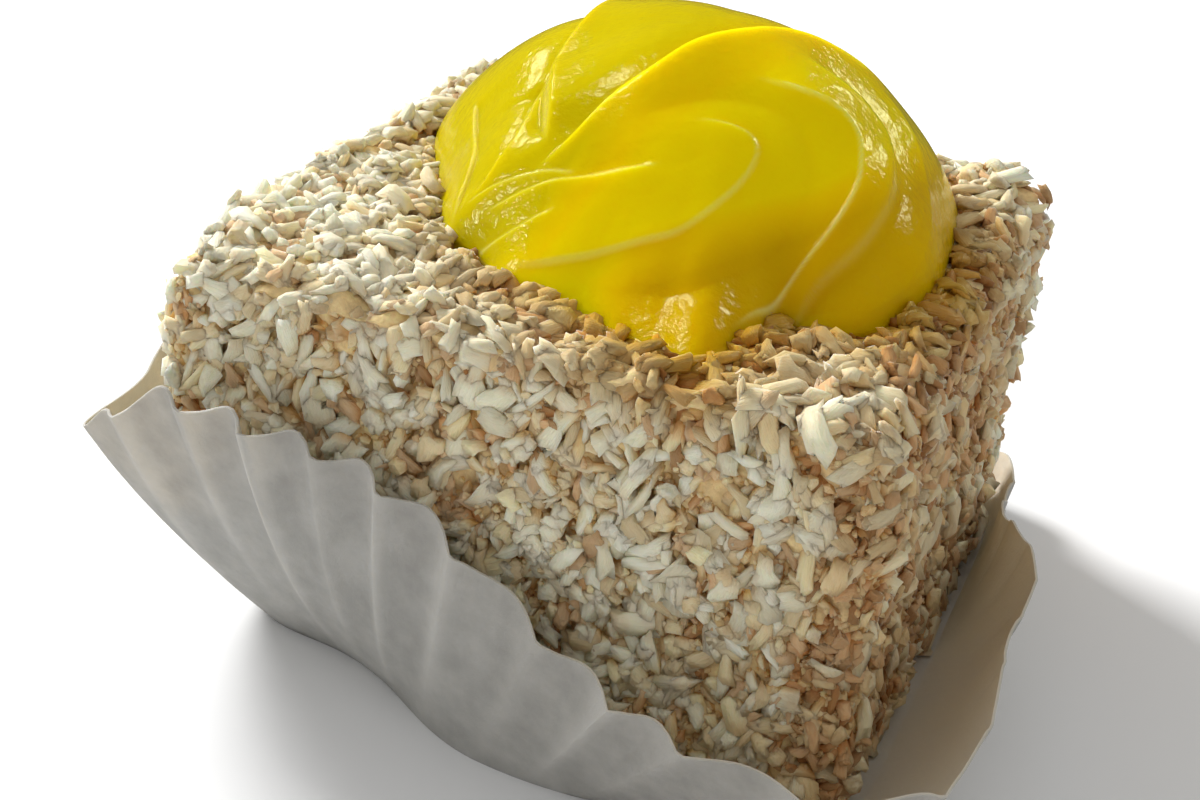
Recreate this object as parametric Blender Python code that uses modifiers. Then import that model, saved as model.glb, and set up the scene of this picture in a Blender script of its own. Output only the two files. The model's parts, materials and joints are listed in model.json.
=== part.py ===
"""Square coconut cake with a swirl of lemon curd, standing in a fluted paper case.

Metres, +Z up.  The origin is the middle of the case's underside.  +X runs along
the cake's front face from left to right, and -Y points out of that face.
"""
import math
import random

import bmesh
import bpy
from mathutils import Euler, Matrix, Vector

# Cake block, measured on the cream under the coconut
CAKE_SIDE = 0.0650
CAKE_TOP = 0.0380
CAKE_ROUNDING = 0.0022
FIT_GAP = 0.0003

# Coconut flakes standing on the cream
FLAKE_LENGTH = 0.0040
FLAKE_WIDTH = 0.0017
FLAKE_THICKNESS = 0.0007
FLAKE_BEND = 0.0005
FLAKE_SPACING = 0.0078
FLAKE_JITTER = 0.0016
FLAKE_LIFT = 0.0002
FLAKE_TILT = 34.0
FLAKE_ROLL = 20.0
FLAKE_CLEARANCE = 0.0028
FLAKE_SEED = 41

# Lemon swirl: a domed mound with a pointed tail, folded along its creases
SWIRL_CENTRE = Vector((0.0030, 0.0090))
SWIRL_RADIUS = 0.0265
SWIRL_HEIGHT = 0.0180
SWIRL_LIP = 0.0009
SWIRL_SHOULDER = 1.90
SWIRL_ROUNDNESS = 0.75
SWIRL_CELLS = 36
SWIRL_CROWDING = 72.0
SWIRL_STEADY_RIM = 0.84
SWIRL_EVENING = 6
SWIRL_RELAXING = 3
# (direction in degrees, reach in degrees, change of radius)
SWIRL_LOBES = (
    (155, 45, 0.0050),
    (90, 75, -0.0054),
    (262, 55, 0.0054),
    (243, 14, -0.0020),
    (287, 14, 0.0085),
    (314, 18, 0.0055),
    (5, 40, -0.0024),
)
# Creases run from the pinch on the left and sweep clockwise.  Each has the four
# points of its curve, how high its right-hand side rises, how deep its left-hand
# side sinks, and how far either side the fold is felt.
SWIRL_CREASES = (
    (((-0.0130, -0.0136), (-0.0145, -0.0100), (-0.0160, -0.0060), (-0.0200, 0.0020)),
     0.0008, 0.0010, 0.0030),
    (((-0.0122, -0.0122), (-0.0098, -0.0102), (-0.0102, -0.0070), (-0.0104, -0.0030)),
     0.0003, 0.0007, 0.0022),
    (((-0.0068, -0.0098), (-0.0130, -0.0010), (-0.0125, 0.0080), (-0.0060, 0.0240)),
     0.0013, 0.0013, 0.0040),
    (((-0.0062, -0.0120), (-0.0025, -0.0070), (0.0030, 0.0000), (0.0190, 0.0210)),
     0.0008, 0.0015, 0.0038),
    (((0.0020, -0.0075), (0.0200, -0.0030), (0.0130, -0.0240), (-0.0070, -0.0200)),
     0.0009, 0.0008, 0.0032),
    (((0.0110, -0.0025), (0.0270, 0.0050), (0.0215, -0.0140), (0.0148, -0.0270)),
     0.0006, -0.0006, 0.0030),
    (((0.0120, 0.0030), (0.0310, 0.0090), (0.0220, -0.0160), (0.0146, -0.0295)),
     0.0004, 0.0010, 0.0032),
    (((-0.0108, -0.0142), (-0.0070, -0.0144), (-0.0030, -0.0148), (0.0010, -0.0148)),
     0.0003, 0.0004, 0.0018),
)
CREASE_SAMPLES = 28
CREASE_SHARPNESS = 0.0020
CREASE_FADE = 0.12

# Fluted case: a thin flared wall round a flat base
CASE_THICKNESS = 0.0004
CASE_FLUTES = 40
CASE_STEPS_PER_FLUTE = 4
CASE_WALL_RINGS = 4
CASE_FLUTE_DEPTH = 0.0009
CASE_BASE_HALF = 0.0350
CASE_RIM_HALF = 0.0382
CASE_RIM_HEIGHT = 0.0150
CASE_STRAIGHT_WALL = 0.43
LIMIT_SEGMENTS = 64
CASE_CORNER_POWER = 9
# (direction in degrees, reach in degrees, change)
CASE_BASE_LOBES = ((228, 45, -0.0092), (283, 34, 0.0030), (135, 34, -0.0070))
CASE_RIM_LOBES = (
    (315, 52, 0.0091),
    (355, 22, 0.0042),
    (35, 26, -0.0019),
    (207, 32, 0.0034),
    (219, 9, 0.0027),
    (240, 20, 0.0026),
    (135, 40, 0.0030),
)
CASE_RIM_RISES = (
    (238, 60, 0.0148),
    (195, 42, 0.0033),
    (304, 24, -0.0018),
    (216, 10, -0.0091),
    (135, 45, 0.0050),
    (45, 48, -0.0090),
)
CASE_KNEES = ((226, 36, -0.22), (135, 36, 0.20))
CASE_TWISTS = ((290, 56, -23.0), (222, 40, -2.0))
# How much of the flute depth is left where the wall is pressed smooth
CASE_SMOOTHED = ((350, 50, -0.75), (30, 40, -0.50))


def bump(angle, centre, reach):
    """1 in the direction centre, easing to 0 at reach degrees either side of it."""
    away = abs((angle - centre + 180.0) % 360.0 - 180.0)
    return 0.5 + 0.5 * math.cos(math.pi * away / reach) if away < reach else 0.0


def with_lobes(plain, lobes, angle):
    return plain + sum(change * bump(angle, centre, reach) for centre, reach, change in lobes)


def squared_radius(angle, half_side):
    """Radius of a soft-cornered square in the given direction."""
    c = abs(math.cos(math.radians(angle))) ** CASE_CORNER_POWER
    s = abs(math.sin(math.radians(angle))) ** CASE_CORNER_POWER
    return half_side / (c + s) ** (1.0 / CASE_CORNER_POWER)


def polar(radius, angle, height=0.0):
    turn = math.radians(angle)
    return Vector((radius * math.cos(turn), radius * math.sin(turn), height))


def clear_scene():
    for item in list(bpy.data.objects):
        bpy.data.objects.remove(item, do_unlink=True)


def new_collection(name):
    collection = bpy.data.collections.new(name)
    bpy.context.scene.collection.children.link(collection)
    return collection


def make_material(name, colour, roughness):
    material = bpy.data.materials.new(name)
    material.use_nodes = True
    shader = material.node_tree.nodes["Principled BSDF"]
    shader.inputs["Base Color"].default_value = (*colour, 1.0)
    shader.inputs["Roughness"].default_value = roughness
    shader.inputs["Metallic"].default_value = 0.0
    material.diffuse_color = (*colour, 1.0)
    return material


def object_from_bmesh(name, shape, collection, material=None):
    mesh = bpy.data.meshes.new(name)
    shape.to_mesh(mesh)
    shape.free()
    item = bpy.data.objects.new(name, mesh)
    collection.objects.link(item)
    if material:
        mesh.materials.append(material)
    return item


def apply_modifiers(item):
    """Replace the object's mesh with the one its modifiers give."""
    bpy.context.view_layer.update()
    evaluated = item.evaluated_get(bpy.context.evaluated_depsgraph_get())
    finished = bpy.data.meshes.new_from_object(evaluated)
    item.modifiers.clear()
    spent = item.data
    item.data = finished
    bpy.data.meshes.remove(spent)


def add_boolean(item, operation, solver, cutter=None, cutters=None):
    boolean = item.modifiers.new(operation.title(), "BOOLEAN")
    boolean.operation = operation
    boolean.solver = solver
    if cutters:
        boolean.operand_type = "COLLECTION"
        boolean.collection = cutters
    else:
        boolean.object = cutter


# ---------------------------------------------------------------- paper case

def case_wall_point(rim_angle, rise):
    """Point of the case's plain outer wall; rise is 0 at the base and 1 at the rim."""
    twist = with_lobes(0.0, CASE_TWISTS, rim_angle) * (1.0 - rise)
    angle = rim_angle + twist
    base = with_lobes(squared_radius(angle, CASE_BASE_HALF), CASE_BASE_LOBES, angle)
    rim = with_lobes(squared_radius(angle, CASE_RIM_HALF), CASE_RIM_LOBES, angle)
    rim_height = with_lobes(CASE_RIM_HEIGHT, CASE_RIM_RISES, angle)
    knee = with_lobes(CASE_STRAIGHT_WALL, CASE_KNEES, angle)
    knee_radius = base + (rim - base) * (0.5 + 0.5 * knee)
    knee_height = rim_height * 0.5 * (1.0 - knee)
    start, middle, end = (1.0 - rise) ** 2, 2.0 * rise * (1.0 - rise), rise ** 2
    radius = start * base + middle * knee_radius + end * rim
    return polar(radius, angle, middle * knee_height + end * rim_height)


def fluted_point(rim_angle, rise):
    """The wall point moved out or in by its flute, deepest at the rim."""
    point = case_wall_point(rim_angle, rise)
    depth = CASE_FLUTE_DEPTH * rise ** 1.5 * with_lobes(1.0, CASE_SMOOTHED, rim_angle)
    wave = depth * math.cos(math.radians(CASE_FLUTES * rim_angle))
    outward = Vector((point.x, point.y, 0.0)).normalized()
    return point + outward * wave


def ring_angles(count):
    return [360.0 * step / count for step in range(count)]


def build_cup(name, collection, rises, point_at, segments):
    """A disc with its edge drawn up ring by ring to the positions of point_at."""
    shape = bmesh.new()
    bmesh.ops.create_circle(shape, cap_ends=True, segments=segments, radius=CASE_BASE_HALF)
    angles = ring_angles(segments)
    ring = sorted(shape.verts, key=lambda v: math.atan2(v.co.y, v.co.x) % math.tau)
    for angle, vertex in zip(angles, ring):
        vertex.co = point_at(angle, rises[0])
    for rise in rises[1:]:
        edges = [edge for edge in shape.edges if len(edge.link_faces) == 1]
        drawn = bmesh.ops.extrude_edge_only(shape, edges=edges)["geom"]
        fresh = [part for part in drawn if isinstance(part, bmesh.types.BMVert)]
        below = {vertex: angle for vertex, angle in zip(ring, angles)}
        ring_of = {}
        for vertex in fresh:
            partner = next(edge.other_vert(vertex) for edge in vertex.link_edges
                           if edge.other_vert(vertex) in below)
            ring_of[below[partner]] = vertex
        ring = [ring_of[angle] for angle in angles]
        for angle, vertex in zip(angles, ring):
            vertex.co = point_at(angle, rise)
    return object_from_bmesh(name, shape, collection), ring


def make_paper_case(collection):
    segments = CASE_FLUTES * CASE_STEPS_PER_FLUTE
    rises = [step / CASE_WALL_RINGS for step in range(CASE_WALL_RINGS + 1)]
    case, _rim = build_cup("paper_case", collection, rises, fluted_point, segments)
    case.data.materials.append(make_material("white_paper", (0.80, 0.79, 0.76), 0.75))
    recalculate_normals(case, outward=True)
    wall = case.modifiers.new("Paper thickness", "SOLIDIFY")
    wall.thickness = CASE_THICKNESS
    wall.offset = -1.0
    wall.use_even_offset = True
    return case


def recalculate_normals(item, outward):
    """Make the open cup's faces point down and out, away from its hollow."""
    shape = bmesh.new()
    shape.from_mesh(item.data)
    base = min(shape.faces, key=lambda face: face.calc_center_median().z)
    bmesh.ops.recalc_face_normals(shape, faces=shape.faces)
    if (base.normal.z < 0.0) != outward:
        bmesh.ops.reverse_faces(shape, faces=shape.faces)
    shape.to_mesh(item.data)
    shape.free()


def inside_case_point(angle, rise):
    """Where the cake may reach: clear of the paper and of its inward flutes."""
    point = case_wall_point(angle, min(rise, 1.0))
    inset = CASE_THICKNESS + FIT_GAP + 1.15 * CASE_FLUTE_DEPTH * min(rise, 1.0) ** 1.5
    outward = Vector((point.x, point.y, 0.0)).normalized()
    point -= outward * inset
    point.z += CASE_THICKNESS + FIT_GAP
    if rise > 1.0:
        point += Vector((0.0, 0.0, CAKE_TOP * (rise - 1.0) * 2.0))
    return point


def make_cake_limit(collection):
    """Closed solid filling the case and the air above it, for trimming the cake."""
    rises = [0.0, 0.2, 0.4, 0.6, 0.8, 1.0, 2.0]
    limit, _rim = build_cup("cake_limit", collection, rises, inside_case_point, LIMIT_SEGMENTS)
    shape = bmesh.new()
    shape.from_mesh(limit.data)
    open_edges = [edge for edge in shape.edges if len(edge.link_faces) == 1]
    bmesh.ops.contextual_create(shape, geom=open_edges)
    bmesh.ops.triangulate(shape, faces=[face for face in shape.faces if len(face.verts) > 4])
    bmesh.ops.recalc_face_normals(shape, faces=shape.faces)
    shape.to_mesh(limit.data)
    shape.free()
    limit.hide_render = True
    limit.display_type = "WIRE"
    return limit


# -------------------------------------------------------------- lemon swirl

def swirl_radius(angle):
    return with_lobes(SWIRL_RADIUS, SWIRL_LOBES, angle)


def swirl_outline():
    return [SWIRL_CENTRE + polar(swirl_radius(angle), angle).to_2d() for angle in range(0, 360, 3)]


def curve_point(points, t):
    """Point on a cubic curve with four control points."""
    a, b, c, d = (Vector(point) for point in points)
    s = 1.0 - t
    return a * s ** 3 + b * 3.0 * t * s * s + c * 3.0 * t * t * s + d * t ** 3


def sample_creases():
    """Each crease as (sample points, rise, sink, reach)."""
    steps = [step / CREASE_SAMPLES for step in range(CREASE_SAMPLES + 1)]
    return [([curve_point(points, t) for t in steps], rise, sink, reach)
            for points, rise, sink, reach in SWIRL_CREASES]


def crease_offset(place, line, rise, sink, reach):
    """Height change at a plan position beside one crease: up on its right, down on its left."""
    nearest = min(range(len(line)), key=lambda k: (line[k] - place).length_squared)
    along = line[min(nearest + 1, len(line) - 1)] - line[max(nearest - 1, 0)]
    away = place - line[nearest]
    side = (along.y * away.x - along.x * away.y) / max(along.length, 1e-9)
    distance = away.length
    share = nearest / (len(line) - 1)
    fade = min(1.0, share / CREASE_FADE, (1.0 - share) / CREASE_FADE)
    right = 0.5 + 0.5 * math.tanh(side / CREASE_SHARPNESS)
    return fade * math.exp(-distance / reach) * (rise * right - sink * (1.0 - right))


def swirl_height(place, creases):
    """Height of the swirl's surface above the bare cake top at a plan position."""
    away = place - SWIRL_CENTRE
    angle = math.degrees(math.atan2(away.y, away.x))
    share = min(away.length / swirl_radius(angle), 1.0)
    dome = SWIRL_HEIGHT * (1.0 - share ** SWIRL_SHOULDER) ** SWIRL_ROUNDNESS
    folds = sum(crease_offset(place, *crease) for crease in creases)
    return SWIRL_LIP + dome + folds * min(1.0, dome / 0.004)


def disc_from_square(x, y):
    """Share of the radius and direction for a point of the square from -1 to 1."""
    across = x * math.sqrt(1.0 - y * y / 2.0)
    deep = y * math.sqrt(1.0 - x * x / 2.0)
    share = min(math.hypot(across, deep), 1.0)
    crowding = math.radians(SWIRL_CROWDING)
    return math.sin(share * crowding) / math.sin(crowding), math.degrees(math.atan2(deep, across))


def relax(shape, vertices, passes, **axes):
    for _pass in range(passes):
        bmesh.ops.smooth_vert(shape, verts=vertices, factor=0.5, **axes)


def make_lemon_topping(collection):
    """A grid drawn into a disc and raised to the swirl, closed by a flat sole."""
    shape = bmesh.new()
    bmesh.ops.create_grid(shape, x_segments=SWIRL_CELLS, y_segments=SWIRL_CELLS, size=1.0)
    rim = [edge for edge in shape.edges if len(edge.link_faces) == 1]
    inner = []
    for vertex in shape.verts:
        share, angle = disc_from_square(vertex.co.x, vertex.co.y)
        place = SWIRL_CENTRE + polar(share * swirl_radius(angle), angle).to_2d()
        vertex.co = (place.x, place.y, 0.0)
        if share < SWIRL_STEADY_RIM:
            inner.append(vertex)
    relax(shape, inner, SWIRL_EVENING, use_axis_x=True, use_axis_y=True)
    creases = sample_creases()
    for vertex in shape.verts:
        vertex.co.z = CAKE_TOP + swirl_height(vertex.co.to_2d(), creases)
    relax(shape, inner, SWIRL_RELAXING, use_axis_z=True)
    drawn = bmesh.ops.extrude_edge_only(shape, edges=rim)["geom"]
    for vertex in (part for part in drawn if isinstance(part, bmesh.types.BMVert)):
        vertex.co.z = CAKE_TOP + FIT_GAP
    sole_edges = [part for part in drawn if isinstance(part, bmesh.types.BMEdge)]
    bmesh.ops.contextual_create(shape, geom=sole_edges)
    bmesh.ops.recalc_face_normals(shape, faces=shape.faces)
    material = make_material("lemon_curd", (0.80, 0.62, 0.01), 0.12)
    return object_from_bmesh("lemon_topping", shape, collection, material)


# ---------------------------------------------------------------------- cake

def make_flake(name, collection, draw):
    """A short chip of coconut, bowed along its length."""
    size = draw.uniform(0.75, 1.15)
    shape = bmesh.new()
    bmesh.ops.create_cube(shape, size=1.0)
    long_edges = [edge for edge in shape.edges if abs(edge.verts[0].co.x - edge.verts[1].co.x) > 0.5]
    bmesh.ops.subdivide_edges(shape, edges=long_edges, cuts=1)
    for vertex in shape.verts:
        middle = 1.0 - 4.0 * vertex.co.x ** 2
        taper = 0.62 + 0.38 * middle
        vertex.co.x *= FLAKE_LENGTH * size
        vertex.co.y *= FLAKE_WIDTH * taper * draw.uniform(0.85, 1.1)
        vertex.co.z = vertex.co.z * FLAKE_THICKNESS + FLAKE_BEND * middle
    bmesh.ops.recalc_face_normals(shape, faces=shape.faces)
    return object_from_bmesh(name, shape, collection)


def cake_faces():
    """The cake's five coated faces: a frame of (right, up, out), and its extents."""
    half = CAKE_SIDE / 2.0
    middle = CAKE_TOP / 2.0
    right, deep, up = Vector((1, 0, 0)), Vector((0, 1, 0)), Vector((0, 0, 1))
    faces = [(right, deep, up, up * CAKE_TOP, half, half)]
    for turn in range(4):
        out = polar(1.0, 90.0 * turn)
        faces.append((up.cross(out), up, out, out * half + up * middle, half, middle))
    return faces


def wall_radius_at(angle, height):
    """Plain radius of the case's wall at a height, or None above its rim."""
    for step in range(41):
        point = case_wall_point(angle, step / 40.0)
        if point.z >= height:
            return math.hypot(point.x, point.y)
    return None


def flake_has_room(place):
    """Flakes stay clear of the swirl and of the paper."""
    flat = place.to_2d()
    if place.z > CAKE_TOP - 0.001:
        away = flat - SWIRL_CENTRE
        outside = away.length > swirl_radius(math.degrees(math.atan2(away.y, away.x)))
        return outside and min((edge - flat).length for edge in swirl_outline()) > FLAKE_CLEARANCE
    wall = wall_radius_at(math.degrees(math.atan2(place.y, place.x)), place.z)
    return wall is None or wall > flat.length + FLAKE_THICKNESS


def flake_places():
    """Evenly spaced places over the coated faces, in staggered rows."""
    places = []
    row_height = FLAKE_SPACING * math.sqrt(3.0) / 2.0
    for right, up, out, centre, half_width, half_height in cake_faces():
        rows = max(1, round(2.0 * half_height / row_height))
        for row in range(rows + 1):
            rise = -half_height + 2.0 * half_height * row / rows
            count = round(2.0 * half_width / FLAKE_SPACING)
            for column in range(count + 1):
                shift = 0.25 if row % 2 else -0.25
                across = -half_width + 2.0 * half_width * (column + 0.5 + shift) / (count + 1)
                places.append((centre + right * across + up * rise, right, up, out))
    return places


def scatter_flakes(collection):
    draw = random.Random(FLAKE_SEED)
    for place, right, up, out in flake_places():
        aside = draw.uniform(-FLAKE_JITTER, FLAKE_JITTER)
        along = draw.uniform(-FLAKE_JITTER, FLAKE_JITTER)
        place = place + right * aside + up * along
        turn = draw.uniform(0, 180)
        tilt = draw.uniform(-FLAKE_TILT, FLAKE_TILT)
        roll = draw.uniform(-FLAKE_ROLL, FLAKE_ROLL)
        if not flake_has_room(place):
            continue
        flake = make_flake("flake", collection, draw)
        frame = Matrix((right, up, out)).transposed().to_4x4()
        angles = [math.radians(angle) for angle in (roll, tilt, turn)]
        spin = Euler(angles, "XYZ").to_matrix().to_4x4()
        flake.matrix_world = Matrix.Translation(place + out * FLAKE_LIFT) @ frame @ spin


def remove_collection(collection):
    for item in list(collection.objects):
        bpy.data.objects.remove(item, do_unlink=True)
    bpy.data.collections.remove(collection)


def drop_scraps(item):
    """Keep only the main body of a mesh, without any loose crumbs of it."""
    shape = bmesh.new()
    shape.from_mesh(item.data)
    unseen = set(shape.verts)
    bodies = []
    while unseen:
        front = [unseen.pop()]
        body = list(front)
        while front:
            vertex = front.pop()
            for edge in vertex.link_edges:
                other = edge.other_vert(vertex)
                if other in unseen:
                    unseen.remove(other)
                    front.append(other)
                    body.append(other)
        bodies.append(body)
    bodies.sort(key=len)
    scraps = [vertex for body in bodies[:-1] for vertex in body]
    bmesh.ops.delete(shape, geom=scraps, context="VERTS")
    shape.to_mesh(item.data)
    shape.free()


def make_cake(collection, limit):
    half = CAKE_SIDE / 2.0
    shape = bmesh.new()
    bmesh.ops.create_cube(shape, size=1.0)
    bmesh.ops.scale(shape, vec=(CAKE_SIDE, CAKE_SIDE, CAKE_TOP), verts=shape.verts)
    bmesh.ops.translate(shape, vec=(0, 0, CAKE_TOP / 2.0), verts=shape.verts)
    upright_and_top = [edge for edge in shape.edges if max(v.co.z for v in edge.verts) > half / 2.0]
    bmesh.ops.bevel(shape, geom=upright_and_top, offset=CAKE_ROUNDING, segments=3,
                    profile=0.5, affect="EDGES")
    material = make_material("coconut_cream", (0.78, 0.68, 0.50), 0.85)
    cake = object_from_bmesh("cake", shape, collection, material)
    flakes = new_collection("flakes")
    scatter_flakes(flakes)
    add_boolean(cake, "UNION", "MANIFOLD", cutters=flakes)
    add_boolean(cake, "INTERSECT", "MANIFOLD", cutter=limit)
    apply_modifiers(cake)
    remove_collection(flakes)
    drop_scraps(cake)
    return cake


def main():
    clear_scene()
    parts = new_collection("lemon_cake")
    cutters = new_collection("cutters")
    limit = make_cake_limit(cutters)
    make_cake(parts, limit)
    make_lemon_topping(parts)
    make_paper_case(parts)
    bpy.data.objects.remove(limit, do_unlink=True)


main()
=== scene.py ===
"""Lemon cake: a square coconut cake with a swirl of lemon curd, in a fluted paper case.

Written for Blender 4.5 as an add-on's module that is run as a script.  It dresses the
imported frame: every piece or group of flakes has its own operator, and the panel in the
3D view's sidebar lists them in the order in which they are made.  Lengths are metres
where no note says mm, +Z is up, +X runs along the cake's front face from left to right
and -Y points out of that face.
"""
import json
import math

import bpy
import numpy as np
from mathutils import Matrix, Vector

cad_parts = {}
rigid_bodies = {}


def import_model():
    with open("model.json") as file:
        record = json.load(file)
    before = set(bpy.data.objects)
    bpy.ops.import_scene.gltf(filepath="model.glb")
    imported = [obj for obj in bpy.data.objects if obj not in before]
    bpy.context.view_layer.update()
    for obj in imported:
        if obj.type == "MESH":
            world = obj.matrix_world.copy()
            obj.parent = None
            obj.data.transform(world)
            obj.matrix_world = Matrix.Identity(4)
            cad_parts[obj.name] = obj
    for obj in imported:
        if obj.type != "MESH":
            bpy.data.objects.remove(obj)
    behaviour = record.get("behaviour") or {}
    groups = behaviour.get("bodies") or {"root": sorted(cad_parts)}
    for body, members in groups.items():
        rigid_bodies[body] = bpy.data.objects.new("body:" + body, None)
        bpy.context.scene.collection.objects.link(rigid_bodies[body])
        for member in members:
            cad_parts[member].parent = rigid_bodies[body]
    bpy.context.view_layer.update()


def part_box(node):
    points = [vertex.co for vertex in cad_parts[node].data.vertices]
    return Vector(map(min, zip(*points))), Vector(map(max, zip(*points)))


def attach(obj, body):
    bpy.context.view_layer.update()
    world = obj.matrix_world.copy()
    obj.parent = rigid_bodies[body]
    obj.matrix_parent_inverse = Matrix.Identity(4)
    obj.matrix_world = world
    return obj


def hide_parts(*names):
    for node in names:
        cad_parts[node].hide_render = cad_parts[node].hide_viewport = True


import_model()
TOPPING_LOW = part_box("lemon_topping")[0]

bl_info = {
    "name": "Lemon cake",
    "version": (1, 0, 0),
    "blender": (4, 5, 0),
    "location": "3D View > Sidebar > Lemon cake",
    "description": "Models a coconut cake with a lemon curd swirl in a paper case",
    "category": "Add Mesh",
}

BODY = "root"
MILLIMETRE = 0.001
CLEARANCE = 0.0003

# ---- lights
# A lamp is its name, place, size and colour.  A glint only shows as a highlight: it is its
# name, place, size and power as a share of the key's.

WHITE_LIGHT = (1.0, 1.0, 1.0)
WARM_LIGHT = (1.0, 0.74, 0.44)
GLINT_LIGHT = (0.98, 1.0, 0.64)
LAMPS = (
    ("key", (-0.68, 0.34, 0.46), 0.28, WHITE_LIGHT),
    ("fill", (0.05, -0.95, 0.45), 0.80, WHITE_LIGHT),
    ("warm side", (0.70, 0.05, 0.40), 0.50, WARM_LIGHT),
)
GLINTS = (
    ("high glint", (-0.46, 0.25, 0.85), 0.14, 0.11),
    ("low glint", (-0.89, -0.18, 0.41), 0.12, 0.10),
    ("right glint", (0.35, 0.72, 0.60), 0.28, 0.22),
    ("wedge glint", (-0.73, 0.53, 0.44), 0.12, 0.045),
)
LAMP_AIM = (0.0, 0.0, 0.03)
FLOOR_SIDE = 4.0

# ---- coating
# Lengths are mm, angles degrees where no note says radians, and shares from 0 to 1.  A
# ripple is its steps along X, Y and Z, in radians a mm, and its start.  A lobe is its
# direction, its reach in degrees and its change.  A rise is where it starts and its length.

SLOW_BULGES = ((0.41, 0.0, 0.23, 0.6), (0.0, 0.37, -0.31, 2.1))
QUICK_LUMPS = ((1.13, -0.71, 0.0, 1.7), (0.0, 0.59, 1.27, 0.4))
SWELL_SLOW = 0.30
SWELL_QUICK = 0.60
CREAM_PATCHES = ((0.83, 0.0, 0.61, 0.0), (0.0, 0.77, -0.87, 1.0))
CREAM_LUMPS = (2.3, 1.9, 2.1, 0.0)
CREAM_SWELL = 0.45
CREAM_LIFT = 0.20
CREAM_LIMIT = 0.40
CORE_CUTS = 108
CORE_INSET = 1.6
BASE_LEVEL = 0.01
FACING_UP = 0.7
NEARLY_LEVEL = 0.8
TOP_HEAP = 1.0
HEAP_REACH = 6.0

FLAKE_SHAPES = (  # bow, taper, twist in radians, raggedness
    (0.06, 0.30, 0.3, 0.13), (0.10, 0.20, -0.5, 0.15), (0.03, 0.50, 0.6, 0.12),
    (0.14, 0.10, 0.2, 0.15), (-0.05, 0.30, -0.3, 0.18), (0.08, 0.55, 0.8, 0.10),
    (0.16, 0.15, -0.9, 0.14), (0.02, 0.05, 0.1, 0.22),
)
FLAKE_SIDES = 6
FLAKE_RINGS = 5
BLUNTNESS = 0.9
THICK_TAPER = (0.45, 0.55)  # a grain's least thickness and what its girth adds
FLAKE_REACH = 1.3
FLAKE_ROOM = 1.5
FLAKE_LOWEST = 1.2
BELOW_CURD = 1.2
CURD_MARGIN = 0.2
FLAKE_INSET = 1.15
FIBRE_STEPS = (1.0, 3.6, 1.6)  # grain along, across and through a flake
FIBRE_SPREAD = 90.0
UPRIGHT_SHARE = 0.55
UPRIGHT_SPREAD = 0.6  # radians
FLAKE_TILT = 22.0
FLAKE_ROLL = 30.0
CALM_REACH = 5.0
CALM_RANGE = (0.1, 0.8)  # flakes on the top lie flatter than the rest, most of all by the curd
FLAKE_LIFTS = (-0.15, 0.65)
LENGTH_SPREAD = (-0.05, 0.34)  # middle and spread of the logarithm
LENGTH_RANGE = (0.45, 1.45)
WIDTH_SPREAD = (-0.05, 0.30)
WIDTH_RANGE = (0.45, 1.35)
THICKNESS_RANGE = (0.8, 1.35)
KIND_SIZES = (1.08, 0.98, 0.84, 0.72)
KIND_LIMITS = (0.15, 0.90, 1.75)  # shades that part white, cream, toasted and browned
SHADE_SPREAD = 0.80
SHADE_PATCHES = ((0.53, 0.0, 0.4, 1.3), (0.0, 0.47, -0.36, 0.4))
PATCH_SHADE = 0.85
LOW_SHADE = 0.5
SHADE_TOP = 38.0
RIGHT_PAINTED_SHADE = 1.0
SHADE_RISE = (24.0, 8.0)
LIFT_PAINTED_SHADE = 1.3
PLAIN_LIFT = 0.3
CRUMB_SHAPES = 4
CRUMB_RAGGEDNESS = 0.22
CRUMB_LIFTS = (0.0, 0.8)
CRUMB_SPREAD = 0.35
CRUMB_STRETCH = (0.7, 1.3)

# Tint beside the curd, partly the curd's real stain and partly painted shadow, strongest on its shaded
# right-front side; SHADY is painted shade on the block's right.
STAIN_AND_SHADOW_STRENGTH = 0.35
STAIN_AND_SHADOW_STRONGER = ((314, 110, 0.90),)
STAIN_AND_SHADOW_REACH = 3.75
STAIN_AND_SHADOW_FARTHER = ((314, 110, 9.75),)
STAIN_AND_SHADOW_RISE = (35.0, 3.0)
SHADY_TINT = 0.38
SHADY_RISE = (27.0, 5.0)
SHADY_BACK = (26.0, -14.0)
SHADY_LEAST = 0.2

# ---- shapes
# Widths and powers of the flutes and folds, and tables of lobes; lengths are mm.

CASE_THICKNESS = 0.00025  # metres
CASE_FLUTES = 40
FLUTE_CELLS = 12
WALL_CELLS = 26
CASE_BASE_HALF = 35.0
CASE_RIM_HALF = 38.2
CASE_RIM_HEIGHT = 15.0
CASE_STRAIGHT_WALL = 0.43
CASE_CORNER_POWER = 9
CASE_BASE_LOBES = ((228, 45, -9.2), (283, 34, 3.0), (135, 34, -7.0))
CASE_RIM_LOBES = (
    (315, 52, 9.1), (355, 22, 4.2), (35, 26, -1.9), (207, 32, 3.4),
    (219, 9, 2.7), (240, 20, 2.6), (135, 40, 3.0),
)
CASE_RIM_RISES = (
    (238, 60, 14.8), (195, 42, 3.3), (304, 24, -1.8), (218.5, 16.5, -7.0),
    (135, 45, 5.0), (45, 48, -9.0),
)
CASE_KNEES = ((226, 36, -0.22), (135, 36, 0.20))
CASE_TWISTS = ((290, 56, -9.0), (222, 40, -2.0))
CASE_SMOOTHED = ((345, 60, -0.85), (40, 45, -0.65), (214, 15, -0.85))
CASE_RIDGE_WIDTH = 0.10
CASE_RIDGE = 1.5
CASE_WAVE = 0.35
CASE_WAVE_LEVEL = -0.2
CASE_FLUTE_POWER = 1.3
CASE_SCALLOP_POWER = 4
CASE_UNEVEN = (0.70, 0.30, 2.4)  # strength of a ridge: plain, change and its step in radians
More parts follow.
